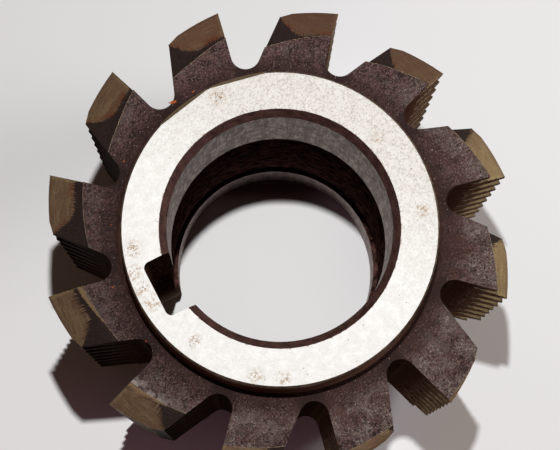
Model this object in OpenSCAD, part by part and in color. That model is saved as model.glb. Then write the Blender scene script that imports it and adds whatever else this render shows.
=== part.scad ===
// Gear hob: a single-start, right-hand, relieved hob for cutting involute gears.
// One solid bar of high-speed steel, turned, threaded, gashed, relieved and ground.
// It stands on its end. The origin is the centre of the bottom hub face, +Z runs
// up the bore, and the keyway is on the +X side. Millimetres and degrees.

/* [Hob] */
// Diameter over the cutting edges
outer_d = 58; // [54:0.5:72]
// Length from hub face to hub face
overall_len = 48; // [40:1:80]
// Diameter of the ground hub at each end
hub_d = 38; // [34:0.5:38]
// How far each hub stands out from the toothed part
hub_len = 4.8; // [2:0.2:8]
// Radius of the fillet between each hub and the end of the teeth
neck_r = 1; // [0.4:0.1:1.2]
// Width of the broken edge round each hub face
rim_break = 0.2; // [0.1:0.05:0.4]

/* [Teeth] */
// Module of the gear that the hob cuts
module_size = 1.5; // [1:0.25:2]
// Pressure angle of the tooth flanks
pressure_angle = 20; // [14.5:0.5:25]
// Height of a tooth above the pitch line
tooth_addendum = 1.875; // [1.2:0.025:2.2]
// Height of a tooth from root to tip
tooth_depth = 4.4; // [3:0.1:4.6]
// Axial place of the thread in line with the keyway, from mid-length
thread_phase = 3; // [-3:0.1:3]
// Least height that the blunted start of the thread keeps
blunt_height = 0.45; // [0.1:0.05:1]
// Height lost for each millimetre of tooth that the end face takes away
blunt_rate = 1.6; // [0.5:0.1:3]

/* [Relief] */
// Angle of the relieved land behind each cutting edge
land_angle = 11.3; // [8:0.1:12]
// How far the land falls over that angle
land_drop = 0.92; // [0.2:0.02:1.2]
// Angle of the bevel at the heel of each tooth
heel_angle = 3.2; // [1:0.1:4]
// How far the heel bevel falls
heel_drop = 0.55; // [0.2:0.05:1]
// How far the top of a blunted tooth falls over the angle of the land
blunt_drop = 1.4; // [0.4:0.05:1.6]

/* [Gashes] */
// Number of chip gashes round the hob
gash_count = 12; // [8:1:14]
// Depth of a gash below the cutting edges
gash_depth = 8.35; // [6:0.05:8.6]
// Radius at the bottom of a gash
gash_r = 1.8; // [1:0.1:2.2]
// Angle from the keyway to the cutting face that lies just behind it
first_face = -12; // [-30:1:0]

/* [Bore] */
// Diameter of the bore that fits the arbor
bore_d = 27; // [22:0.5:29]
// Width of the chamfer at each mouth of the bore
bore_chamfer = 0.9; // [0.4:0.1:1.2]
// Length of the ground land at the top of the bore
top_land = 15; // [8:0.5:18]
// Length of the ground land at the bottom of the bore
bottom_land = 8; // [6:0.5:18]
// Depth of the relief between the two lands
recess_depth = 0.6; // [0.3:0.1:1]

/* [Keyway] */
// Width of the keyway
key_w = 7; // [5:0.1:8]
// Depth of the keyway below the bore
key_depth = 3.1; // [1.5:0.1:3.2]
// Radius in the corners of the keyway
key_corner_r = 0.8; // [0.3:0.1:1]

/* [Hand-ground flats] */
// Directions of the two flats ground on the rim of the top hub
flat_directions = [-78.8, -101.5];
// Width of each flat across the hub face, measured inwards from the rim
flat_depth = 0.52; // [0.2:0.02:0.8]
// Slope of the flats, measured from the hub face
flat_slope = 45; // [30:5:70]

/* [Hidden] */
$fn = 96;

tip_r = outer_d / 2;
root_r = tip_r - tooth_depth;
bore_r = bore_d / 2;
hub_r = hub_d / 2;
teeth_bottom = hub_len;
teeth_top = overall_len - hub_len;

// Thread
axial_pitch = PI * module_size;
pitch_d = 2 * (tip_r - tooth_addendum);
lead_angle = asin(module_size / pitch_d);
crest_w = axial_pitch / 2 - 2 * tooth_addendum * tan(pressure_angle);

// A land is an arc of a circle whose centre is moved towards the cutting face, so
// that the arc falls by a given drop from the cutting edge to the end of the land.
mid_land = land_angle / 2;
function relief_centre(drop) = drop / (2 * sin(mid_land)) * [sin(mid_land), -cos(mid_land)];

// Radius about that centre of a point at radius r on the cutting face
function about_centre(r, drop) = norm([r, 0] - relief_centre(drop));

// A row reaches past its land into the gash on each side, which then trims it.
ahead_angle = 2;
behind_angle = 360 / gash_count - 5.5;
// The solid core lies below the roots at their lowest, and each row reaches into it.
core_r = root_r - land_drop - heel_drop - 0.8;
row_inner_r = core_r - 1.2;

// Gash, drawn with its cutting face on the +X axis
face_step = 360 / gash_count;
gash_floor_r = tip_r - gash_depth;
gash_centre = [sqrt(pow(gash_floor_r + gash_r, 2) - pow(gash_r, 2)), -gash_r];
land_end_r = tip_r - land_drop;
heel_r = land_end_r - heel_drop;
past_tip_r = tip_r + 3;
overlap = 1;

function polar(r, a) = [r * cos(a), r * sin(a)];

// Height of the crest whose middle lies inside, or past, the end of the teeth
function crest_height(inside) =
    inside >= crest_w / 2 ? tooth_depth
    : max(blunt_height, tooth_depth / 2 + blunt_rate * inside);

// Outline of one tooth in its own plane: x is the radius, y the axis
function tooth_outline(crest_r, drop) =
    let (foot_r = root_r - overlap,
         half_crest = crest_w / 2 + (tip_r - crest_r) * tan(pressure_angle),
         half_foot = crest_w / 2 + (tip_r - foot_r) * tan(pressure_angle),
         crest_x = about_centre(crest_r, drop),
         foot_x = about_centre(foot_r, drop))
    [[foot_x, -half_foot], [crest_x, -half_crest], [crest_x, half_crest], [foot_x, half_foot]];

// Turns a section round the shifted centre, from ahead of the cutting face to
// the gash behind. The cutting face is on the +X axis.
module relieved(drop) {
    centre = relief_centre(drop);
    translate(centre)
        rotate([0, 0, atan2(-centre[1], tip_r - centre[0]) - ahead_angle])
            rotate_extrude(angle = ahead_angle + behind_angle)
                children();
}

// One tooth, leaning by the lead angle
module tooth(crest_r, drop) {
    rotate([lead_angle, 0, 0])
        relieved(drop)
            polygon(tooth_outline(crest_r, drop));
}

// One row of teeth on the relieved ground between them
module tooth_row(shift) {
    first = ceil((teeth_bottom - shift) / axial_pitch - 0.5);
    last = floor((teeth_top - shift) / axial_pitch + 0.5);
    inner_x = about_centre(row_inner_r, land_drop);
    relieved(land_drop)
        translate([inner_x, teeth_bottom - overlap])
            square([about_centre(root_r, land_drop) - inner_x,
                    teeth_top - teeth_bottom + 2 * overlap]);
    for (i = [first:last]) {
        middle = shift + i * axial_pitch;
        inside = min(middle - teeth_bottom, teeth_top - middle);
        blunted = inside < crest_w / 2;
        translate([0, 0, middle])
            tooth(root_r + crest_height(inside), blunted ? blunt_drop : land_drop);
    }
}

// All the rows, each moved along the axis by its share of the thread's pitch
module tooth_rows() {
    intersection() {
        union() {
            for (k = [0:gash_count - 1]) {
                direction = first_face + k * face_step;
                rotate([0, 0, direction])
                    tooth_row(overall_len / 2 + thread_phase + axial_pitch * direction / 360);
            }
        }
        translate([0, 0, teeth_bottom])
            cylinder(r = past_tip_r, h = teeth_top - teeth_bottom);
    }
}

// Hubs, necks and core, as one turned section
module turned_section() {
    polygon([[0, 0], [hub_r - rim_break, 0], [hub_r, rim_break],
             [hub_r, overall_len - rim_break], [hub_r - rim_break, overall_len], [0, overall_len]]);
    translate([0, teeth_bottom])
        square([core_r, teeth_top - teeth_bottom]);
    for (end = [[teeth_bottom, -1], [teeth_top, 1]])
        translate([hub_r, end[0]])
            difference() {
                translate([-overlap, end[1] < 0 ? -neck_r : -overlap])
                    square([neck_r + overlap, neck_r + overlap]);
                translate([neck_r, end[1] * neck_r])
                    circle(r = neck_r);
            }
}

module turned_body() {
    rotate_extrude() turned_section();
}

// One chip gash: the cutting face, a round bottom, the back wall and the heel bevel
module gash_section() {
    heel = polar(heel_r, land_angle + heel_angle - face_step);
    land_end = polar(land_end_r, land_angle - face_step);
    slope = (land_end - heel) / norm(land_end - heel);
    // The back wall runs from the heel to where it touches the round bottom
    to_centre = gash_centre - heel;
    along = atan2(to_centre[1], to_centre[0]) + asin(gash_r / norm(to_centre));
    wall_len = sqrt(norm(to_centre) * norm(to_centre) - gash_r * gash_r);
    touch = heel + polar(wall_len, along);
    polygon([[gash_centre[0], 0],
             [past_tip_r, 0],
             polar(past_tip_r, -face_step / 4),
             polar(past_tip_r, -face_step / 2),
             land_end + 3 * slope,
             heel,
             touch,
             gash_centre]);
    translate(gash_centre) circle(r = gash_r);
}

module gashes() {
    for (k = [0:gash_count - 1])
        rotate([0, 0, first_face + k * face_step])
            translate([0, 0, -overlap])
                linear_extrude(overall_len + 2 * overlap)
                    gash_section();
}

// Bore with its two ground lands, the relief between them and the mouth chamfers
module bore() {
    translate([0, 0, -overlap])
        cylinder(r = bore_r, h = overall_len + 2 * overlap);
    translate([0, 0, bottom_land])
        cylinder(r = bore_r + recess_depth, h = overall_len - top_land - bottom_land);
    for (end = [[0, 0], [overall_len, 180]])
        translate([0, 0, end[0]])
            rotate([end[1], 0, 0])
                translate([0, 0, -overlap])
                    cylinder(r1 = bore_r + bore_chamfer + overlap, r2 = bore_r,
                             h = bore_chamfer + overlap);
}

module keyway() {
    floor_x = bore_r + key_depth;
    translate([0, 0, -overlap])
        linear_extrude(overall_len + 2 * overlap) {
            translate([0, -key_w / 2])
                square([floor_x - key_corner_r, key_w]);
            translate([0, key_corner_r - key_w / 2])
                square([floor_x, key_w - 2 * key_corner_r]);
            for (side = [-1, 1])
                translate([floor_x - key_corner_r, side * (key_w / 2 - key_corner_r)])
                    circle(r = key_corner_r);
        }
}

// Flats ground by hand on the rim of the top hub. The cut ends just past the
// hub's side, well above the ends of the teeth.
module rim_flats() {
    slope_len = flat_depth / cos(flat_slope);
    for (direction = flat_directions)
        rotate([0, 0, direction])
            translate([hub_r - flat_depth, 0, overall_len])
                rotate([0, flat_slope, 0])
                    translate([-overlap, -hub_r, 0])
                        cube([slope_len + 2 * overlap, hub_d, 2 * overlap]);
}

module hob() {
    color([0.36, 0.33, 0.31])
        difference() {
            union() {
                turned_body();
                tooth_rows();
            }
            gashes();
            bore();
            keyway();
            rim_flats();
        }
}

hob();
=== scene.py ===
# %% [markdown]
# # A gear hob standing on its end
# A hob is one bar of hardened steel. Its long thread has the section of a gear
# rack, and twelve straight gashes cut the thread into rows of teeth. This lesson
# takes the measured solid as it is, sorts its faces by how each was made, and
# gives every kind of face the finish that its last process left on it.

# %% Load the measured solid
import bpy
import bmesh
import math
import numpy as np
from mathutils import Matrix, Vector


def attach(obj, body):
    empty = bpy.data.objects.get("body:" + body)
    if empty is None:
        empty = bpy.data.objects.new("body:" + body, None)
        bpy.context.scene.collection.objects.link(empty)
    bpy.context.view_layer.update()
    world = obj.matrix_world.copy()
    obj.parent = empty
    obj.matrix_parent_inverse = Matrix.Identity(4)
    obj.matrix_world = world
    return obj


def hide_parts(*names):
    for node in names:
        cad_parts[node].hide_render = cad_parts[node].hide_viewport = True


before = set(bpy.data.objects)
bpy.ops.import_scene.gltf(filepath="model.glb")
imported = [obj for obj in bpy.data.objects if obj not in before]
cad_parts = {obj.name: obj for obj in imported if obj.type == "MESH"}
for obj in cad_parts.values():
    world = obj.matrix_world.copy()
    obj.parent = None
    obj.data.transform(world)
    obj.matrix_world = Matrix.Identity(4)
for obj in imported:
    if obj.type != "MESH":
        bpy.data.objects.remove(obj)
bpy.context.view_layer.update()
MM = 0.001  # one millimetre in Blender's metres

# %% [markdown]
# ## Camera
# The hob stands on a table and the camera looks down its bore, leaning a little,
# so that it sees the rows of teeth on the near side below the end face. Its place is
# given as on a clock face laid on the table, with twelve o'clock at the top of the
# view, because that is how the hob is looked at. The hob's own X axis runs through
# its keyway instead, so one small helper turns one kind of direction to the other.
#
# A camera is set from three directions: to its right, to its top, and behind it.

# %% Camera over the bore
TWELVE_O_CLOCK = -207  # degrees from the clock's axes to the hob's own


def from_clock(vector, lift=0.0):
    """A vector given on the clock face, in the hob's own axes, raised by lift."""
    turn = math.radians(TWELVE_O_CLOCK)
    x = vector[0] * math.cos(turn) - vector[1] * math.sin(turn)
    y = vector[0] * math.sin(turn) + vector[1] * math.cos(turn)
    return Vector((x, y, vector[2] + lift))


HUB_TOP = 48.0  # height of the upper hub face
right = from_clock((0.999875, -0.005382, 0.014851))
up = from_clock((0.003243, 0.990083, 0.140447))
behind = from_clock((-0.015460, -0.140381, 0.989977))
eye = from_clock((-3.718, -33.402, 237.821), HUB_TOP) * MM

camera_data = bpy.data.cameras.new("camera")
camera_data.lens = 130.1  # a long lens, about 240 mm above the hub
camera_data.sensor_width = 36.0
camera_data.sensor_fit = "HORIZONTAL"
camera_data.clip_start = 0.01
camera = bpy.data.objects.new("camera", camera_data)
turned = Matrix((right, up, behind)).transposed().to_4x4()
camera.matrix_world = Matrix.Translation(eye) @ turned
bpy.context.scene.collection.objects.link(camera)
bpy.context.scene.camera = camera
print("camera", round(eye.length / MM), "mm from the foot of the hob")

# %% [markdown]
# ## A copy of the solid to finish
# The measured solid arrives as loose triangles. A copy is merged into one skin,
# so that shading can run smoothly round the bore and break at real edges. The
# copy stands for the solid, and stays exactly its size.

# %% Merge the copy
SAME_POINT = 2e-6  # metres
SHARP = math.radians(24)
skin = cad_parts["hob"].data.copy()
skin.name = "hob_body"
work = bmesh.new()
work.from_mesh(skin)
bmesh.ops.remove_doubles(work, verts=work.verts, dist=SAME_POINT)
bmesh.ops.dissolve_degenerate(work, edges=work.edges, dist=SAME_POINT)
for edge in work.edges:
    edge.smooth = len(edge.link_faces) == 2 and edge.calc_face_angle(0.0) < SHARP
for face in work.faces:
    face.smooth = True
work.to_mesh(skin)
work.free()
body = bpy.data.objects.new("hob_body", skin)
bpy.context.scene.collection.objects.link(body)
print("skin:", len(skin.vertices), "points,", len(skin.polygons), "faces")

# %% [markdown]
# ## Sort the faces by the process that made them
# Each face is known by where it is and which way it looks. A point's radius and
# the parts of its normal that look outwards, round and up are enough to tell a
# ground land from a milled gash or a relieved flank.

# %% Measure every face
def face_tables(mesh):
    """Centres in millimetres and normals of all faces, as two arrays."""
    count = len(mesh.polygons)
    centres = np.empty(count * 3, dtype=np.float32)
    normals = np.empty(count * 3, dtype=np.float32)
    mesh.polygons.foreach_get("center", centres)
    mesh.polygons.foreach_get("normal", normals)
    return centres.reshape(-1, 3) / MM, normals.reshape(-1, 3)


centres, normals = face_tables(skin)
radius = np.hypot(centres[:, 0], centres[:, 1])
height = centres[:, 2]
outward = (normals[:, 0] * centres[:, 0] + normals[:, 1] * centres[:, 1]) / radius
around = (normals[:, 1] * centres[:, 0] - normals[:, 0] * centres[:, 1]) / radius
upward = np.abs(normals[:, 2])
azimuth = np.degrees(np.arctan2(normals[:, 1], normals[:, 0]))
print("faces reach from radius", round(float(radius.min()), 1), "to", round(float(radius.max()), 1))

# %% [markdown]
# Each rule below marks its faces over the last one's, so the general rules come
# first and the narrow ones after them. What no rule marks is the floor of a gash.

# %% Zones
ZONES = ["hub_face", "hub_side", "rim_break", "rim_flat", "neck", "chamfer", "near_land",
         "far_land", "recess", "keyway", "end_face", "flank", "tooth_top", "root",
         "cutting_face", "gash_back", "gash_floor"]
END = 4.8  # how far each hub stands out from the ends of the teeth
INSIDE_BORE = 17.2  # every face of the bore and keyway lies within this radius
PAST_NECK = 20.2  # and every face of a tooth or gash outside this one
LAND_RADIUS = 13.55  # between the ground lands and the relief
ROOT_RADIUS = 24.9  # between the roots and the tops of the teeth
FLAT_DIRECTIONS = (-78.8, -101.5)
zone = np.full(len(radius), ZONES.index("gash_floor"))


def mark(name, where):
    zone[where] = ZONES.index(name)


def near_hub_face(depth):
    """True for faces less than depth below the top hub face or above the bottom one."""
    return (height > HUB_TOP - depth) | (height < depth)


toothed = (radius > PAST_NECK) & (upward < 0.3)
at_end = (np.abs(height - (HUB_TOP - END)) < 0.02) | (np.abs(height - END) < 0.02)
mark("root", toothed & (outward > 0.9) & (radius < ROOT_RADIUS))
mark("tooth_top", toothed & (outward > 0.9) & (radius >= ROOT_RADIUS))
mark("gash_back", toothed & (around > 0.3) & (outward > 0.2) & (outward <= 0.9))
mark("cutting_face", toothed & (around < -0.93))
mark("flank", (radius > PAST_NECK) & (upward >= 0.3))
mark("neck", (radius > 18.7) & (radius < PAST_NECK) & ~at_end)
mark("end_face", (upward > 0.98) & at_end & (radius > 19.2))
mark("hub_side", (radius > 18.3) & (radius < 19.3) & (upward < 0.05) & near_hub_face(END - 0.9))
sloping = (radius > 18.2) & (radius < 19.3) & (upward > 0.5) & (upward < 0.9)
mark("rim_break", sloping & near_hub_face(0.4))
for direction in FLAT_DIRECTIONS:
    mark("rim_flat", sloping & (np.abs(azimuth - direction) < 0.4) & (height > HUB_TOP - 1.2))
inner = radius < INSIDE_BORE
bore_wall = inner & (radius < 13.6) & (upward < 0.1)
mark("recess", inner & (radius > LAND_RADIUS))
mark("near_land", bore_wall & (height > 30))
mark("far_land", bore_wall & (height < 12))
mark("chamfer", inner & (upward > 0.3) & (upward < 0.95) & near_hub_face(1.3))
mark("keyway", inner & (centres[:, 0] > 12.5) & (np.abs(centres[:, 1]) < 3.55) & (upward < 0.1))
mark("hub_face", (upward > 0.98) & near_hub_face(0.02))
for index, name in enumerate(ZONES):
    print(f"{name:13s}", int((zone == index).sum()), "faces")

# %% [markdown]
# ## Helpers for building finishes
# A finish is a small graph of nodes. The helpers below add a product, a noise or a
# blend in one line each, so that the graphs that follow read like recipes. Sizes
# are in millimetres, because the first node turns metres to millimetres.
#
# The first helper knows places and does arithmetic with them.

# %% Places and arithmetic
class Graph:
    """A material's node graph, with the place of each point and sums on it."""

    def __init__(self, name):
        self.material = bpy.data.materials.new(name)
        self.material.use_nodes = True
        self.tree = self.material.node_tree
        self.tree.nodes.clear()
        metres = self.add("TexCoord").outputs["Object"]
        in_mm = self.add("VectorMath", operation="SCALE", Vector=metres, Scale=1000.0)
        self.place = in_mm.outputs[0]
        self.x, self.y, self.z = self.add("SeparateXYZ", Vector=self.place).outputs
        squared = self.plus(self.times(self.x, self.x), self.times(self.y, self.y))
        self.radius = self.maths("SQRT", squared)
        self.angle = self.times(self.maths("ARCTAN2", self.y, self.x), 180 / math.pi)

    def add(self, kind, **values):
        """A node whose sockets (in capitals) and settings are given by name."""
        node = self.tree.nodes.new("ShaderNode" + kind)
        for name, value in values.items():
            socket = node.inputs.get(name) if name[0].isupper() else None
            if socket is None:
                setattr(node, name, value)
            elif isinstance(value, bpy.types.NodeSocket):
                self.tree.links.new(value, socket)
            else:
                socket.default_value = value
        return node

    def maths(self, operation, *values):
        node = self.add("Math", operation=operation)
        for socket, value in zip(node.inputs, values):
            if isinstance(value, bpy.types.NodeSocket):
                self.tree.links.new(value, socket)
            else:
                socket.default_value = value
        return node.outputs[0]

    def times(self, first, *others):
        for other in others:
            first = self.maths("MULTIPLY", first, other)
        return first

    def plus(self, first, *others):
        for other in others:
            first = self.maths("ADD", first, other)
        return first

    def minus(self, first, second):
        return self.maths("SUBTRACT", first, second)

    def larger(self, first, second):
        return self.maths("MAXIMUM", first, second)

    def absolute(self, value):
        return self.maths("ABSOLUTE", value)

    def step(self, value, low, high):
        """0 below low, 1 above high, smooth between. High may be the smaller one."""
        node = self.add("MapRange", interpolation_type="SMOOTHSTEP")
        self.tree.links.new(value, node.inputs["Value"])
        node.inputs["From Min"].default_value = low
        node.inputs["From Max"].default_value = high
        return node.outputs[0]


print("arithmetic:", [name for name in vars(Graph) if not name.startswith("_")])

# %% [markdown]
# The second helper adds patterns. A noise sampled on stretched axes gives the
# fine lines that a cutting or grinding pass leaves, and a dot product tells how
# far a point lies towards one side of the hob, for wear that is on that side only.

# %% Patterns
class Pattern(Graph):
    """A graph that can also make noises, spots, lines and one-sided fades."""

    def noise(self, scale, detail=3.0, rough=0.55, place=None, warp=0.0):
        node = self.add("TexNoise", Scale=scale, Detail=detail, Roughness=rough, Distortion=warp)
        self.tree.links.new(place or self.place, node.inputs["Vector"])
        return node.outputs["Fac"]

    def cells(self, scale):
        node = self.add("TexVoronoi", Scale=scale, Vector=self.place)
        return node.outputs["Distance"]

    def ridge(self, scale, width, detail):
        """Thin crooked lines, where a noise crosses its middle."""
        gap = self.absolute(self.minus(self.noise(scale, detail, 0.6), 0.5))
        return self.step(gap, width, width * 0.3)

    def towards(self, direction, low, high):
        """0 to 1 across the piece, in a direction on the clock face."""
        node = self.add("VectorMath", operation="DOT_PRODUCT")
        self.tree.links.new(self.place, node.inputs[0])
        node.inputs[1].default_value = from_clock(direction)
        return self.step(node.outputs["Value"], low, high)

    def spot(self, middle, size):
        """1 at the middle of a round spot, and 0 from its size outwards."""
        node = self.add("VectorMath", operation="DISTANCE")
        self.tree.links.new(self.place, node.inputs[0])
        node.inputs[1].default_value = middle
        return self.step(node.outputs["Value"], size, size * 0.1)

    def polar(self, radial, round_, axial):
        """A place whose axes run outwards, round and up, each stretched by its factor."""
        node = self.add("CombineXYZ")
        stretched = (self.times(self.radius, radial), self.times(self.angle, round_),
                     self.times(self.z, axial))
        for value, socket in zip(stretched, node.inputs):
            self.tree.links.new(value, socket)
        return node.outputs[0]


print("patterns:", [name for name in vars(Pattern) if not name.startswith("_")])

# %% [markdown]
# The last helper lays colours over one another and closes the graph with one
# shader. Its bump has a real depth in millimetres, like everything else here.

# %% Colours and the shader
class Finish(Pattern):
    """A graph with colours, which becomes a finished material."""

    def blend(self, amount, first, second):
        node = self.add("Mix", data_type="RGBA")
        for name, value in (("Factor", amount), ("A", first), ("B", second)):
            socket = [s for s in node.inputs if s.name == name and s.enabled][0]
            if isinstance(value, bpy.types.NodeSocket):
                self.tree.links.new(value, socket)
            else:
                socket.default_value = value if name == "Factor" else (*value, 1.0)
        return [s for s in node.outputs if s.enabled][0]

    def over(self, base, mask, strength, colour):
        """Lays a colour over a base where the mask is 1, as strongly as is asked."""
        return self.blend(self.times(mask, strength), base, colour)

    def shade(self, colour, roughness, metallic, bump=None, strength=0.3, depth=0.02, **fixed):
        shader = self.add("BsdfPrincipled")
        shown = {"Base Color": colour, "Roughness": roughness, "Metallic": metallic}
        for name, value in shown.items():
            if isinstance(value, bpy.types.NodeSocket):
                self.tree.links.new(value, shader.inputs[name])
            else:
                shader.inputs[name].default_value = value
        for name, value in fixed.items():
            shader.inputs[name.replace("_", " ")].default_value = value
        if bump is not None:
            node = self.add("Bump", Strength=strength, Distance=depth * MM)
            self.tree.links.new(bump, node.inputs["Height"])
            self.tree.links.new(node.outputs[0], shader.inputs["Normal"])
        out = self.add("OutputMaterial")
        self.tree.links.new(shader.outputs[0], out.inputs["Surface"])
        print("finish:", self.material.name, "of", len(self.tree.nodes), "nodes")
        return self.material


def srgb(red, green, blue):
    """A colour as seen on a screen, 0 to 255, in the linear values that shaders use."""
    return tuple(((c / 255 + 0.055) / 1.055) ** 2.4 if c > 10 else c / 3294.6
                 for c in (red, green, blue))


finishes = {}

# %% [markdown]
# ## The ground hub faces
# A surface grinder leaves these faces flat and bright, with a fine tangle of arcs. The top face is
# painted darker towards twelve o'clock, with more dark grains there, as shade where the lamp's
# highlight falls off. Handling has left warm brown stains, and damp has left small pits in and near
# them.

# %% Ground steel
f = Finish("ground_hub_face")
arcs = f.noise(1.6, 4, 0.6, f.polar(7.0, 0.25, 1.0), 0.3)
mottle = f.noise(0.9, 5, 0.65)
grain = f.noise(4.2, 4, 0.7)
steel = f.blend(f.step(mottle, 0.35, 0.7), srgb(192, 190, 187), srgb(206, 205, 203))
steel = f.over(steel, f.step(arcs, 0.52, 0.72), 0.3, srgb(172, 167, 158))
# painted shade: darker towards the top, where the lamp's highlight falls off
top_painted_shade = f.towards((0.45, 1.0, 0.0), -4.0, 18.0)
# dark grains everywhere, with more of them in the painted shade at the top
grains_and_painted_shade = f.times(f.step(grain, 0.47, 0.62), f.plus(0.12, f.times(top_painted_shade, 0.5)))
steel = f.blend(grains_and_painted_shade, steel, srgb(140, 133, 124))
steel = f.over(steel, top_painted_shade, 0.3, srgb(164, 157, 147))
print("ground steel:", len(f.tree.nodes), "nodes so far")

# %% Stains, pits and the rusty rim of the bore
STAINS = [(53, 17.8, 1.5), (64, 17.9, 1.3), (341, 17.6, 1.6), (350, 18.2, 1.6), (26, 16.8, 1.2),
          (3, 17.4, 1.7), (357, 17.9, 1.4), (268, 17.6, 1.5), (196, 16.2, 1.3),
          (160, 17.1, 1.2)]  # direction in degrees, radius and size
stain = None
for degrees, distance, size in STAINS:
    turn = math.radians(degrees)
    halo = f.spot((distance * math.cos(turn), distance * math.sin(turn), HUB_TOP), size)
    stain = halo if stain is None else f.larger(stain, halo)
patchy = f.step(f.noise(2.6, 5, 0.8), 0.47, 0.6)
steel = f.over(steel, f.times(stain, patchy), 0.9, srgb(142, 114, 80))
pits = f.step(f.cells(2.4), 0.26, 0.12)
few = f.plus(f.times(stain, 0.16), f.noise(0.5, 4, 0.7))
steel = f.over(steel, f.times(pits, f.step(few, 0.57, 0.66)), 0.8, srgb(92, 66, 42))
rim = f.step(f.plus(f.radius, f.noise(2.2, 4)), 14.95, 14.75)
steel = f.over(steel, rim, 0.7, srgb(120, 88, 66))
rough = f.plus(0.665, f.times(mottle, 0.08))
finishes["hub_face"] = f.shade(steel, rough, 1.0, f.plus(arcs, grain), 0.1, 0.01)

# %% [markdown]
# ## Hub side, flats and neck
# The hubs' sides were turned and then browned with the rest of the body. Low down, where they lie
# in the lamp's shadow, painted light lifts the hub's side and the top of the neck. Two small flats
# on the top rim were touched on a bench grinder, and show clean olive-grey steel. The neck holds
# the oldest scale and oil, and its foot is painted darker still, as shade in the crease.

# %% Turned side
def painted_light_low_side(g):
    """1 on the lower side of the hob, where light is painted into the lamp's shadow."""
    return g.towards((-0.3, -1.0, 0.0), 2.0, 14.0)


# painted light: the tone that lifts the lower hub side and neck out of the lamp's shadow
PAINTED_LIGHT_TONE = srgb(138, 98, 84)
f = Finish("browned_hub_side")
rings = f.noise(2.5, 4, 0.6, f.polar(1.0, 0.02, 6.0))
patch = f.noise(0.8, 5, 0.7)
tone = f.blend(f.step(patch, 0.35, 0.7), srgb(58, 38, 31), srgb(92, 68, 56))
tone = f.over(tone, f.step(rings, 0.5, 0.8), 0.35, srgb(124, 104, 88))
# painted light on the hub's lower side, which lies in the lamp's shadow
tone = f.over(tone, painted_light_low_side(f), 0.7, PAINTED_LIGHT_TONE)
finishes["hub_side"] = f.shade(tone, 0.6, 0.3, rings, 0.25, 0.02, Specular_IOR_Level=0.1)

# %% Rim, flats and neck
f = Finish("broken_rim")
patch = f.noise(1.4, 5, 0.7)
tone = f.blend(f.step(patch, 0.35, 0.65), srgb(44, 29, 23), srgb(100, 80, 60))
finishes["rim_break"] = f.shade(tone, 0.6, 0.5, patch, 0.3, 0.02)

f = Finish("bench_ground_flat")
lines = f.noise(3.0, 4, 0.65, f.polar(0.4, 0.25, 9.0))
tone = f.blend(f.step(lines, 0.3, 0.75), srgb(84, 66, 46), srgb(136, 118, 86))
finishes["rim_flat"] = f.shade(tone, 0.55, 0.6, lines, 0.3, 0.02)

f = Finish("scaled_neck")
patch = f.noise(1.1, 5, 0.75)
grit = f.noise(3.4, 4, 0.75)
tone = f.blend(f.step(patch, 0.3, 0.72), srgb(34, 19, 16), srgb(64, 42, 36))
# partly scale, partly painted shade: the neck is darker towards its foot, in the crease
tone = f.over(tone, f.step(f.radius, 19.0, 20.0), 0.8, srgb(34, 18, 15))
upper_neck = f.step(f.radius, 19.5, 19.2)
# painted light on the top of the neck, low down, in the lamp's shadow
tone = f.over(tone, f.times(painted_light_low_side(f), upper_neck), 0.8, PAINTED_LIGHT_TONE)
finishes["neck"] = f.shade(tone, 0.7, 0.0, grit, 0.8, 0.1, Specular_IOR_Level=0.1)

# %% [markdown]
# ## The bore
# The two lands are ground to size, and reflect whatever stands behind the hob.
# Between them the wall keeps its black heat-treatment scale. The mouth chamfer
# has a thin skin of reddish-brown rust, and the keyway holds old oil.

# %% Chamfer
f = Finish("rusty_chamfer")
patch = f.noise(1.5, 5, 0.7, f.polar(1.0, 0.15, 1.0))
fine = f.noise(7.0, 3, 0.7)
tone = f.blend(f.step(patch, 0.3, 0.7), srgb(42, 24, 22), srgb(76, 51, 46))
tone = f.over(tone, f.step(fine, 0.55, 0.75), 0.5, srgb(116, 86, 74))
finishes["chamfer"] = f.shade(tone, 0.6, 0.3, fine, 0.35, 0.03, Specular_IOR_Level=0.2)

# %% Ground lands
def land_finish(name, dark, light, pit_colour):
    """Ground steel with fine rings, long dark streaks, an oily film and pits."""
    g = Finish(name)
    rings = g.noise(2.2, 4, 0.6, g.polar(1.0, 0.03, 5.0))
    streaks = g.noise(1.0, 4, 0.6, g.polar(1.0, 0.5, 0.15))
    film = g.noise(0.8, 5, 0.8, g.polar(1.0, 0.3, 0.6))
    tone = g.blend(g.step(rings, 0.3, 0.72), dark, light)
    tone = g.over(tone, g.step(streaks, 0.46, 0.56), 0.85, dark)
    tone = g.over(tone, g.step(film, 0.47, 0.56), 0.85, srgb(50, 37, 33))
    pits = g.step(g.cells(1.9), 0.24, 0.12)
    pits = g.times(pits, g.step(g.noise(0.5, 2), 0.46, 0.56))
    tone = g.over(tone, pits, 0.9, pit_colour)
    rough = g.plus(0.3, g.times(film, 0.3))
    return g.shade(tone, rough, 0.85, g.plus(rings, film), 0.3, 0.03,
                   Specular_Tint=(0.93, 0.85, 0.81, 1.0))


finishes["near_land"] = land_finish("ground_near_land", srgb(80, 66, 62), srgb(186, 170, 163),
                                    srgb(30, 20, 18))
finishes["far_land"] = land_finish("ground_far_land", srgb(92, 76, 74), srgb(130, 114, 112),
                                   srgb(28, 20, 18))

# %% Relief and keyway
f = Finish("scaled_recess")
patch = f.noise(0.9, 5, 0.7)
tone = f.blend(f.step(patch, 0.35, 0.7), srgb(18, 9, 8), srgb(94, 64, 58))
finishes["recess"] = f.shade(tone, 0.8, 0.0, patch, 0.4, 0.04, Specular_IOR_Level=0.0)

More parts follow.
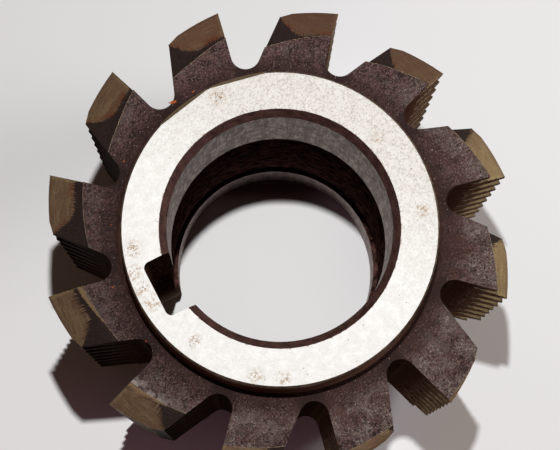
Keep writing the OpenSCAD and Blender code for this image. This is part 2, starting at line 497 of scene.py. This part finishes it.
f = Finish("oily_keyway")
patch = f.noise(1.1, 5, 0.7, f.polar(1.0, 0.3, 0.6))
scratch = f.noise(2.5, 3, 0.6, f.polar(2.5, 0.2, 0.5))
tone = f.blend(f.step(patch, 0.35, 0.75), srgb(34, 17, 15), srgb(74, 50, 42))
tone = f.over(tone, f.step(scratch, 0.52, 0.68), 0.6, srgb(130, 100, 70))
# painted light: the keyway is lighter low down, as if lit by light thrown back from the sheet
bounce_light_foot = f.step(f.plus(f.z, f.times(patch, 6.0)), 17.0, 2.0)
tone = f.over(tone, bounce_light_foot, 0.8, srgb(126, 108, 98))
finishes["keyway"] = f.shade(tone, 0.8, 0.0, patch, 0.4, 0.04, Specular_IOR_Level=0.0)

# %% [markdown]
# ## Where a point lies on its tooth
# The teeth repeat twelve times round the hob, so one measure serves them all:
# how far a point lies behind its own cutting edge. The ground tops fall away
# evenly behind that edge, and a levelled radius takes this fall out again.

# %% Place on a tooth
GASHES = 12
FIRST_FACE = -12.0  # direction of the first cutting face, in degrees
LAND_ANGLE = 11.3  # degrees from a cutting edge to the end of its ground top
LAND_DROP = 0.92  # how far the top falls over that angle


def behind_edge_of(g):
    """Degrees from the cutting edge back to the point."""
    return g.maths("MODULO", g.plus(g.angle, 360.0 - FIRST_FACE), 360.0 / GASHES)


def levelled_radius(g, behind_edge):
    """The radius as if the ground tops did not fall."""
    return g.plus(g.radius, g.times(behind_edge, LAND_DROP / LAND_ANGLE))


def from_mid_length(g):
    """How far the point is above or below the middle of the hob."""
    return g.absolute(g.minus(g.z, HUB_TOP / 2))


print("one tooth every", 360.0 / GASHES, "degrees")

# %% [markdown]
# ## The ends of the teeth
# These faces were never ground. They keep a grainy purple-brown scale that
# sparkles where grains have broken off.

# %% Scale
f = Finish("scaled_end_face")
patch = f.noise(1.1, 5, 0.75)
grit = f.noise(3.4, 4, 0.75)
grain = f.noise(5.0, 3, 0.7)
tone = f.blend(f.step(patch, 0.38, 0.62), srgb(31, 16, 15), srgb(70, 47, 46))
tone = f.over(tone, f.step(grit, 0.5, 0.37), 0.85, srgb(17, 9, 8))
tone = f.over(tone, f.step(grit, 0.53, 0.64), 0.6, srgb(106, 84, 80))
tone = f.over(tone, f.step(grain, 0.58, 0.68), 0.75, srgb(142, 122, 116))
print("scale:", len(f.tree.nodes), "nodes so far")

# %% [markdown]
# Standing the tool down has rubbed them grey and scratched them, most of all on
# one side, and one tooth has a bare patch. Rust, broad grey and warm brown clouds
# and the oil round the hub lie over that.

# %% Rubbed places
rubbed = f.times(f.step(f.noise(0.3, 4, 0.65), 0.4, 0.56), f.step(f.radius, 20.6, 23.5))
rubbed = f.times(rubbed, f.plus(0.25, f.towards((0.75, -0.65, 0.0), -12.0, 18.0)))
bare = f.times(f.towards((-0.75, -0.65, 0.0), 21.0, 25.5), f.step(f.radius, 23.2, 25.2))
bare = f.times(bare, f.step(f.noise(0.9, 4, 0.7), 0.42, 0.58))
rubbed = f.larger(rubbed, bare)
tone = f.over(tone, f.times(rubbed, f.step(grit, 0.36, 0.6)), 0.52, srgb(92, 76, 71))
tone = f.over(tone, bare, 0.7, srgb(152, 142, 136))
scratches = f.larger(f.ridge(0.5, 0.012, 4.0), f.ridge(1.1, 0.014, 3.0))
scratches = f.times(scratches, f.step(grain, 0.36, 0.55))
tone = f.over(tone, f.times(scratches, rubbed), 0.5, srgb(150, 139, 131))
print("with rubbed places:", len(f.tree.nodes), "nodes so far")

# %% Rust, clouds and oil
rust = f.times(f.step(f.noise(0.8, 5, 0.7), 0.57, 0.68), f.step(grit, 0.4, 0.6))
tone = f.over(tone, rust, 0.4, srgb(88, 50, 34))
broad = f.noise(0.38, 4, 0.7)
worn_grey = f.times(f.step(broad, 0.5, 0.62), f.step(f.radius, 21.0, 23.0))
tone = f.over(tone, worn_grey, 0.33, srgb(90, 79, 74))
warm = f.times(f.step(broad, 0.56, 0.42), f.towards((0.8, -0.6, 0.0), 4.0, 18.0))
warm = f.times(warm, f.step(f.radius, 25.5, 22.5))
tone = f.over(tone, warm, 0.6, srgb(56, 33, 25))
near_hub = f.step(f.plus(f.radius, f.times(patch, 1.6)), 23.8, 20.2)
tone = f.over(tone, near_hub, 0.72, srgb(36, 19, 15))
GASH_MIDDLE = 25.4  # degrees behind a cutting edge
off_middle = f.absolute(f.minus(behind_edge_of(f), GASH_MIDDLE))
gash_root = f.times(f.step(off_middle, 7.0, 2.0), f.step(f.radius, 22.4, 20.8))
tone = f.over(tone, gash_root, 0.75, srgb(30, 16, 13))
rough = f.plus(0.6, f.times(patch, 0.2))
bumps = f.plus(grit, f.times(grain, 0.6))
finishes["end_face"] = f.shade(tone, rough, 0.0, bumps, 0.9, 0.12, Specular_IOR_Level=0.14)

# %% [markdown]
# ## The flanks of the thread
# A relief-grinding wheel works from each cutting edge backwards, so the outer
# part of a flank is bright olive steel. The wheel lifts off before the heel and
# never reaches the root, so a ragged border runs along the inside of the ground
# part and turns out to the tooth top near the heel. Along this border the heat
# of the wheel has left a brown tint. Inside it the flank is black, with a thin
# strip of older, browner grinding next to the end face.

# %% Where the wheel has been
f = Finish("relief_ground_flank")
behind_edge = behind_edge_of(f)
level = levelled_radius(f, behind_edge)
ragged = f.noise(2.6, 5, 0.8, f.polar(1.0, 1.3, 1.0))
comb = f.noise(1.0, 3, 0.6, f.polar(0.35, 4.0, 0.5))
INNER_BORDER = 25.75  # levelled radius of the border, up to where it turns out
TURNS_OUT = 7.6  # degrees behind the cutting edge
late = f.larger(f.minus(behind_edge, TURNS_OUT), 0.0)
border = f.plus(INNER_BORDER, f.times(late, late, 0.062))
border = f.plus(border, f.times(f.minus(ragged, 0.5), 1.1))
border = f.plus(border, f.times(f.minus(comb, 0.5), 1.4))
inside = f.minus(level, border)
ground = f.step(inside, -0.04, 0.1)
print("ground from radius", INNER_BORDER, "until", TURNS_OUT, "degrees behind the edge")

# %% Ground steel of a flank
lines = f.noise(1.5, 4, 0.65, f.polar(9.0, 0.16, 9.0))
drift = f.noise(0.4, 3, 0.6)
olive = f.blend(f.step(lines, 0.3, 0.72), srgb(78, 59, 45), srgb(118, 97, 73))
olive = f.over(olive, f.step(drift, 0.4, 0.62), 0.6, srgb(98, 73, 56))
glint = f.step(f.noise(0.9, 4, 0.7, f.polar(2.4, 0.2, 0.6)), 0.46, 0.74)
olive = f.over(olive, glint, 0.45, srgb(136, 118, 88))
keen = f.step(f.plus(behind_edge, f.times(drift, 1.2)), 1.7, 0.8)
olive = f.over(olive, keen, 0.4, srgb(136, 118, 84))
specks = f.step(f.noise(4.5, 3, 0.7), 0.52, 0.42)
olive = f.over(olive, specks, 0.35, srgb(62, 45, 34))
# painted highlight: the flanks are lighter and yellower towards three o'clock, where they face the
# light
olive = f.over(olive, f.towards((1.0, -0.1, 0.0), 18.0, 26.0), 0.3, srgb(120, 108, 72))
olive = f.over(olive, f.towards((0.4, 0.92, 0.0), 20.0, 27.0), 0.55, srgb(82, 57, 46))
olive = f.over(olive, f.towards((-0.35, 0.93, 0.0), 21.0, 27.0), 0.35, srgb(98, 64, 52))
print("flank:", len(f.tree.nodes), "nodes so far")

# %% Unground part, burnt border and tip
black = f.blend(f.step(ragged, 0.3, 0.7), srgb(18, 10, 9), srgb(42, 29, 25))
strip_start = f.plus(f.times(comb, 0.22), f.plus(18.68, f.times(behind_edge, 0.03)))
strip = f.step(f.minus(from_mid_length(f), strip_start), 0.0, 0.05)
black = f.over(black, strip, 0.75, srgb(118, 95, 67))
tint = f.times(f.step(inside, 1.1, 0.0), f.step(f.plus(comb, f.noise(0.5, 2)), 0.88, 1.1))
burnt = f.blend(f.towards((-0.45, 0.9, 0.0), 6.0, 18.0), srgb(48, 32, 24), srgb(90, 46, 27))
olive = f.over(olive, tint, 0.85, burnt)
olive = f.over(olive, f.step(level, 28.55, 28.85), 0.45, srgb(84, 62, 48))
tone = f.blend(ground, black, olive)
shine = f.times(ground, 0.55)
rough = f.minus(0.68, f.times(ground, 0.14))
bumps = f.plus(lines, ragged)
finishes["flank"] = f.shade(tone, rough, shine, bumps, 0.3, 0.03, Specular_IOR_Level=0.12)

# %% [markdown]
# ## Tooth tops, roots and gashes
# The narrow tops are ground with the flanks, along the thread. The roots, the backs of the gashes
# and their floors were only milled, and have gone almost black with scale and cutting oil. The
# cutting faces are sharpened again and again: fine lines run along the gash, and the faces are
# darker and browner towards the root.

# %% Tops and roots
f = Finish("ground_tooth_top")
lines = f.noise(1.5, 4, 0.65, f.polar(2.0, 0.12, 9.0))
tone = f.blend(f.step(lines, 0.3, 0.72), srgb(84, 66, 48), srgb(132, 112, 84))
heel = f.step(behind_edge_of(f), 10.6, 12.2)
patch = f.noise(1.4, 5, 0.75)
tone = f.blend(f.step(f.plus(heel, f.times(patch, 0.6)), 0.55, 1.0), tone, srgb(40, 28, 24))
finishes["tooth_top"] = f.shade(tone, 0.5, 0.6, lines, 0.25, 0.02)

f = Finish("milled_root")
patch = f.noise(1.5, 5, 0.7)
tone = f.blend(f.step(patch, 0.3, 0.72), srgb(26, 15, 12), srgb(56, 38, 30))
finishes["root"] = f.shade(tone, 0.8, 0.0, patch, 0.4, 0.04, Specular_IOR_Level=0.0)

# %% Cutting faces
f = Finish("sharpened_cutting_face")
along = f.noise(1.6, 4, 0.65, f.polar(7.0, 0.3, 0.12))
patch = f.noise(0.7, 5, 0.7)
tone = f.blend(f.step(along, 0.3, 0.72), srgb(84, 53, 42), srgb(136, 102, 84))
# darker and browner towards the root of the gash
darker_towards_root = f.step(f.plus(f.radius, f.times(patch, 7.0)), 29.6, 27.0)
tone = f.over(tone, darker_towards_root, 0.8, srgb(66, 40, 33))
keen = f.step(f.radius, 28.5, 28.9)
tone = f.over(tone, keen, 0.5, srgb(160, 146, 122))
finishes["cutting_face"] = f.shade(tone, 0.8, 0.0, along, 0.4, 0.05, Specular_IOR_Level=0.0)

# %% Backs and floors of the gashes
def milled_finish(name, dark, light, shine):
    """Milled steel under scale, with faint lighter lines along the gash."""
    g = Finish(name)
    along = g.noise(1.4, 4, 0.65, g.polar(4.0, 0.9, 0.12))
    patch = g.noise(1.2, 5, 0.7)
    tone = g.blend(g.step(patch, 0.3, 0.72), dark, light)
    tone = g.over(tone, g.step(along, 0.5, 0.7), 0.6, srgb(78, 56, 42))
    return g.shade(tone, 0.5, shine, g.plus(along, patch), 0.6, 0.06, Specular_IOR_Level=0.0)


finishes["gash_back"] = milled_finish("milled_gash_back", srgb(28, 16, 12), srgb(64, 43, 33), 0.07)
finishes["gash_floor"] = milled_finish("milled_gash_floor", srgb(34, 20, 15), srgb(72, 50, 39), 0.0)

# %% Put the finishes on
skin.materials.clear()
for name in ZONES:
    skin.materials.append(finishes[name])
skin.polygons.foreach_set("material_index", zone.astype(np.int32))
skin.update()
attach(body, "root")
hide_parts("hob")
print("finishes:", len(finishes))

# %% [markdown]
# ## Grains of scale and worn edges
# Two things repeat over the hob by the thousand: loose grains of scale on the
# unground ends of the teeth, and the line that handling leaves along a sharp edge,
# bright on the cutting edges and dull beside the end faces. Each is grown by a
# small tree of geometry nodes on the part of the skin where it belongs, and is
# then kept as a plain mesh. Modelling them one by one would take weeks, and a
# painted pattern alone would leave the outline smooth.

# %% Helpers for a tree
def new_tree(name, sizes):
    """A tree with geometry in and out and one named input for each size."""
    tree = bpy.data.node_groups.new(name, "GeometryNodeTree")
    tree.interface.new_socket("Geometry", in_out="INPUT", socket_type="NodeSocketGeometry")
    for label, value in sizes.items():
        kind = "NodeSocketInt" if isinstance(value, int) else "NodeSocketFloat"
        tree.interface.new_socket(label, in_out="INPUT", socket_type=kind)
    tree.interface.new_socket("Geometry", in_out="OUTPUT", socket_type="NodeSocketGeometry")
    return tree, tree.nodes.new("NodeGroupInput"), tree.nodes.new("NodeGroupOutput")


def chain(tree, *steps):
    """Adds nodes one after another, each fed by the one before, and returns them."""
    made = []
    for kind in steps:
        node = tree.nodes.new("GeometryNode" + kind)
        if made:
            tree.links.new(made[-1].outputs[0], node.inputs[0])
        made.append(node)
    return made


def grow(name, host, tree, sizes):
    """Runs a tree on a host mesh and keeps the result as a plain piece."""
    seedbed = bpy.data.objects.new(name + "_host", host)
    bpy.context.scene.collection.objects.link(seedbed)
    modifier = seedbed.modifiers.new(name, "NODES")
    modifier.node_group = tree
    for item in tree.interface.items_tree:
        if item.in_out == "INPUT" and item.name in sizes:
            modifier[item.identifier] = sizes[item.name]
    ready = seedbed.evaluated_get(bpy.context.evaluated_depsgraph_get())
    mesh = bpy.data.meshes.new_from_object(ready)
    mesh.name = name
    seedbed.modifiers.clear()
    bpy.data.objects.remove(seedbed)
    piece = bpy.data.objects.new(name, mesh)
    bpy.context.scene.collection.objects.link(piece)
    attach(piece, "root")
    print(name + ":", len(mesh.polygons), "faces")


print("a tree can be made, filled and grown")

# %% Parts of the skin
def faces_of(zone_name):
    """A mesh with the skin's faces of one zone."""
    piece = bmesh.new()
    piece.from_mesh(skin)
    chosen = ZONES.index(zone_name)
    others = [face for face in piece.faces if face.material_index != chosen]
    bmesh.ops.delete(piece, geom=others, context="FACES")
    mesh = bpy.data.meshes.new(zone_name + "_faces")
    piece.to_mesh(mesh)
    piece.free()
    return mesh


def edges_between(pairs, least_radius):
    """A mesh with the skin's edges between given pairs of zones, from a radius outwards."""
    piece = bmesh.new()
    piece.from_mesh(skin)
    kept = set()
    for edge in piece.edges:
        meeting = {ZONES[face.material_index] for face in edge.link_faces}
        reach = min(corner.co.xy.length for corner in edge.verts) / MM
        if len(edge.link_faces) == 2 and meeting in pairs and reach > least_radius:
            kept.add(edge)
    bmesh.ops.delete(piece, geom=list(piece.faces), context="FACES_ONLY")
    others = [edge for edge in piece.edges if edge not in kept]
    bmesh.ops.delete(piece, geom=others, context="EDGES")
    mesh = bpy.data.meshes.new("edges")
    piece.to_mesh(mesh)
    piece.free()
    return mesh


ends = faces_of("end_face")
KEEN = ({"cutting_face", "tooth_top"}, {"cutting_face", "flank"}, {"end_face", "flank"},
        {"end_face", "tooth_top"}, {"end_face", "root"}, {"tooth_top", "gash_back"})
keen_edges = edges_between(KEEN, least_radius=22.5)
print("ends of teeth:", len(ends.polygons), "faces; keen edges:", len(keen_edges.edges))

# %% [markdown]
# A grain is a lump of twelve faces, of uneven size and turned any way. A noise
# gathers the grains in clumps, as they are where the scale has begun to flake.

# %% Tree for the grains
f = Finish("grain_of_scale")
bright = f.noise(1.3, 3, 0.7)
tone = f.blend(f.step(bright, 0.4, 0.62), srgb(52, 35, 33), srgb(136, 118, 112))
grain_finish = f.shade(tone, 0.5, 0.2, Specular_IOR_Level=0.3)

GRAINS = {"Grains per square metre": 5.0e6, "Clump per metre": 420.0, "Smallest": 0.5,
          "Largest": 1.6, "Radius": 0.055 * MM, "Seed": 7}
tree, given, result = new_tree("scatter_grains", GRAINS)
scatter, place, _, coat = chain(tree, "DistributePointsOnFaces", "InstanceOnPoints",
                                    "RealizeInstances", "SetMaterial")
tree.links.new(given.outputs["Geometry"], scatter.inputs["Mesh"])
tree.links.new(given.outputs["Seed"], scatter.inputs["Seed"])
coat.inputs["Material"].default_value = grain_finish
tree.links.new(coat.outputs[0], result.inputs["Geometry"])

BARE, CROWDED = 0.42, 0.66  # noise values with no grains yet and with the most
clumps = tree.nodes.new("ShaderNodeTexNoise")
gather = tree.nodes.new("ShaderNodeMapRange")
gather.inputs["From Min"].default_value = BARE
gather.inputs["From Max"].default_value = CROWDED
tree.links.new(given.outputs["Clump per metre"], clumps.inputs["Scale"])
tree.links.new(clumps.outputs["Fac"], gather.inputs["Value"])
tree.links.new(given.outputs["Grains per square metre"], gather.inputs["To Max"])
tree.links.new(gather.outputs[0], scatter.inputs["Density"])
print("grains: up to", GRAINS["Grains per square metre"] * MM * MM, "on a square millimetre")

# %% Grains of scale on the ends of the teeth
lump = tree.nodes.new("GeometryNodeMeshUVSphere")
lump.inputs["Segments"].default_value = 4
lump.inputs["Rings"].default_value = 3
size = tree.nodes.new("FunctionNodeRandomValue")
turn = tree.nodes.new("FunctionNodeRandomValue")
turn.data_type = "FLOAT_VECTOR"
turn.inputs["Max"].default_value = (math.tau, math.tau, math.tau)
tree.links.new(given.outputs["Radius"], lump.inputs["Radius"])
tree.links.new(lump.outputs["Mesh"], place.inputs["Instance"])
tree.links.new(given.outputs["Smallest"], size.inputs[2])
tree.links.new(given.outputs["Largest"], size.inputs[3])
tree.links.new(size.outputs[1], place.inputs["Scale"])
tree.links.new(turn.outputs[0], place.inputs["Rotation"])
grow("scale_grains", ends, tree, GRAINS)

# %% [markdown]
# A worn edge is a bead of four sides, thicker and thinner as a noise says, that
# runs along the edge. Its radius is so small, 0.04 mm or so, that it shows as a line
# of light and not as a wire.

# %% Finish of a worn edge
f = Finish("worn_edge")
wear = f.noise(1.6, 4, 0.7)
tone = f.blend(f.step(wear, 0.38, 0.62), srgb(60, 44, 34), srgb(156, 136, 104))
END_PLANE = HUB_TOP / 2 - END  # height of an end face above mid-length
on_end = f.step(from_mid_length(f), END_PLANE - 0.2, END_PLANE - 0.05)
tone = f.over(tone, on_end, 0.6, srgb(80, 62, 50))
edge_finish = f.shade(tone, 0.45, 0.5)

# %% Worn edges
BEAD = {"Radius": 0.04 * MM, "Unevenness": 1.1, "Noise per metre": 900.0}
THINNEST = 0.3  # part of the radius that is left where the noise is 0
tree, given, result = new_tree("bead_along_edges", BEAD)
path, swell, tube, _, coat = chain(tree, "MeshToCurve", "SetCurveRadius", "CurveToMesh",
                                        "RealizeInstances", "SetMaterial")
ring = tree.nodes.new("GeometryNodeCurvePrimitiveCircle")
ring.inputs["Resolution"].default_value = 4
uneven = tree.nodes.new("ShaderNodeTexNoise")
thickness = tree.nodes.new("ShaderNodeMath")
thickness.operation = "MULTIPLY_ADD"
thickness.inputs[2].default_value = THINNEST
tree.links.new(given.outputs["Geometry"], path.inputs["Mesh"])
tree.links.new(given.outputs["Radius"], ring.inputs["Radius"])
tree.links.new(ring.outputs["Curve"], tube.inputs["Profile Curve"])
tree.links.new(given.outputs["Noise per metre"], uneven.inputs["Scale"])
tree.links.new(uneven.outputs["Fac"], thickness.inputs[0])
tree.links.new(given.outputs["Unevenness"], thickness.inputs[1])
tree.links.new(thickness.outputs[0], swell.inputs["Radius"])
coat.inputs["Material"].default_value = edge_finish
tree.links.new(coat.outputs[0], result.inputs["Geometry"])
grow("worn_edges", keen_edges, tree, BEAD)

# %% [markdown]
# ## Flakes of rust
# A few thin flakes of orange rust lie in the necks, where damp collects. Each is
# an uneven outline of seven corners, half as wide as it is long, with a second
# outline above it for its thickness. There are only six, so plain mesh code places
# them one by one.

# %% Finish and outline of a flake
f = Finish("rust_flake")
patch = f.noise(2.5, 4, 0.7)
tone = f.blend(f.step(patch, 0.35, 0.65), srgb(120, 54, 24), srgb(188, 96, 48))
flake_finish = f.shade(tone, 0.8, 0.0, patch, 0.5, 0.05, Specular_IOR_Level=0.2)

CORNERS = 7


def flake_outline(number, degrees, distance, size, lean):
    """The lower corners of a flake, in millimetres."""
    turn = math.radians(degrees)
    middle = Vector((distance * math.cos(turn), distance * math.sin(turn), HUB_TOP - END + 0.05))
    outline = []
    for corner in range(CORNERS):
        angle = corner * math.tau / CORNERS
        reach = size * (0.75 + 0.35 * math.sin(5.0 * corner + 2.3 * number))
        across = Vector((reach * math.cos(angle), 0.5 * reach * math.sin(angle), 0.0))
        across.rotate(Matrix.Rotation(math.radians(lean + degrees), 3, "Z"))
        rise = 0.12 * size * math.sin(3.0 * corner + number)
        outline.append(middle + across + Vector((0, 0, rise)))
    return outline


# %% Rust flakes
FLAKES = [(282.0, 20.75, 0.62, 60), (273.8, 20.3, 0.24, 70), (308.0, 20.8, 0.2, 140),
          (330.0, 20.4, 0.16, 40), (12.0, 20.7, 0.16, 95),
          (351.0, 21.2, 0.2, 15)]  # direction in degrees, radius, size and lean
THICKNESS = 0.12
points, faces = [], []
for number, flake in enumerate(FLAKES):
    low = flake_outline(number, *flake)
    high = [corner + Vector((0, 0, THICKNESS)) for corner in low]
    first = len(points)
    points += [corner * MM for corner in low + high]
    bottom = [first + k for k in range(CORNERS)]
    top = [k + CORNERS for k in bottom]
    faces += [bottom[:1] + bottom[:0:-1], top]  # the lower face runs the other way round
    faces += [(bottom[k - 1], bottom[k], top[k], top[k - 1]) for k in range(CORNERS)]
flake_mesh = bpy.data.meshes.new("rust_flakes")
flake_mesh.from_pydata(points, [], faces)
work = bmesh.new()
work.from_mesh(flake_mesh)
bmesh.ops.triangulate(work, faces=list(work.faces))
work.to_mesh(flake_mesh)
work.free()
flake_mesh.materials.append(flake_finish)
flakes = bpy.data.objects.new("rust_flakes", flake_mesh)
bpy.context.scene.collection.objects.link(flakes)
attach(flakes, "root")
print("rust flakes:", len(FLAKES), "of", len(flake_mesh.polygons), "faces in all")

# %% [markdown]
# ## Table
# A pale sheet under the hob catches its shadow. On its right half a faint glow of the sheet stands
# in for daylight, and the sheet is painted darker under it, so shadows are softer and paler there;
# a faint violet glow fills them at the near end. Towards the top left the sheet is painted darker,
# as painted shade, and down in the bore a painted shadow darkens it. Only the camera sees all this,
# so no light of it falls on the hob.

# %% What the sheet looks like
f = Finish("pale_paper")
seen = f.add("LightPath").outputs["Is Camera Ray"]
daylight = f.times(f.towards((1.0, 0.1, 0.0), 4.0, 26.0), seen)
# painted shade: the sheet is darker towards the top left
painted_far_shade = f.times(f.towards((-0.35, 0.9, 0.0), 4.0, 34.0), seen)
tone = f.blend(painted_far_shade, (0.80, 0.795, 0.79), (0.62, 0.618, 0.614))
# under the glow the right half is painted darker
tone = f.blend(daylight, tone, (0.595, 0.612, 0.627))
# painted shadow on the sheet down in the bore, under its top edge
painted_bore_shadow = f.times(f.towards((0.0, 1.0, 0.0), 9.6, 12.4), f.step(f.radius, 18.0, 16.0))
tone = f.blend(f.times(painted_bore_shadow, seen), tone, (0.2, 0.13, 0.12))
dusk = f.times(f.towards((-0.1, -1.0, 0.0), 12.0, 30.0), seen)
glow = f.plus(f.times(daylight, 0.06), f.times(dusk, 0.026))
glow_tone = f.blend(daylight, (1.0, 0.45, 0.8), (1.0, 0.5, 0.22))
paper = f.shade(tone, 0.9, 0.0, Specular_IOR_Level=0.1)
sheet = f.tree.nodes["Principled BSDF"]
f.tree.links.new(glow_tone, sheet.inputs["Emission Color"])
f.tree.links.new(glow, sheet.inputs["Emission Strength"])

# %% Floor
SIDE = 1.5  # metres from the hob to each side of the sheet
floor_mesh = bpy.data.meshes.new("table")
floor_mesh.from_pydata([(-SIDE, -SIDE, 0), (SIDE, -SIDE, 0), (SIDE, SIDE, 0), (-SIDE, SIDE, 0)],
                       [], [(0, 1, 2, 3)])
floor_mesh.materials.append(paper)
floor = bpy.data.objects.new("table", floor_mesh)
bpy.context.scene.collection.objects.link(floor)
print("sheet:", 2 * SIDE, "m wide")

# %% [markdown]
# ## Light
# One small lamp hangs near the camera, 63 mm further towards twelve o'clock, and
# throws a short sharp shadow towards six. A broad soft lamp on the right lifts the
# shadows on that side, and the surroundings add a little warm light everywhere.

# %% Lamps
def area_lamp(name, clock_place, size, power):
    """A round lamp at a place on the clock face, aimed at the hob's body."""
    data = bpy.data.lights.new(name, "AREA")
    data.shape = "DISK"
    data.size = size
    data.energy = power
    lamp = bpy.data.objects.new(name, data)
    lamp.location = from_clock(clock_place, HUB_TOP) * MM
    lamp.rotation_mode = "QUATERNION"
    aim = Vector((0, 0, 20.0)) * MM
    lamp.rotation_quaternion = (aim - lamp.location).to_track_quat("-Z", "Y")
    bpy.context.scene.collection.objects.link(lamp)
    print("lamp:", name, power, "W")


area_lamp("key", (-4.5, 29.5, 243.0), 0.006, 0.74)
area_lamp("fill", (190.0, 60.0, 120.0), 0.12, 0.30)

# %% Surroundings
world = bpy.data.worlds.new("room")
bpy.context.scene.world = world
world.use_nodes = True
background = world.node_tree.nodes["Background"]
background.inputs["Color"].default_value = (1.0, 0.6, 0.47, 1.0)
background.inputs["Strength"].default_value = 0.045
bpy.context.scene.view_settings.view_transform = "Standard"
print("surroundings at", round(background.inputs["Strength"].default_value, 3))

# %% [markdown]
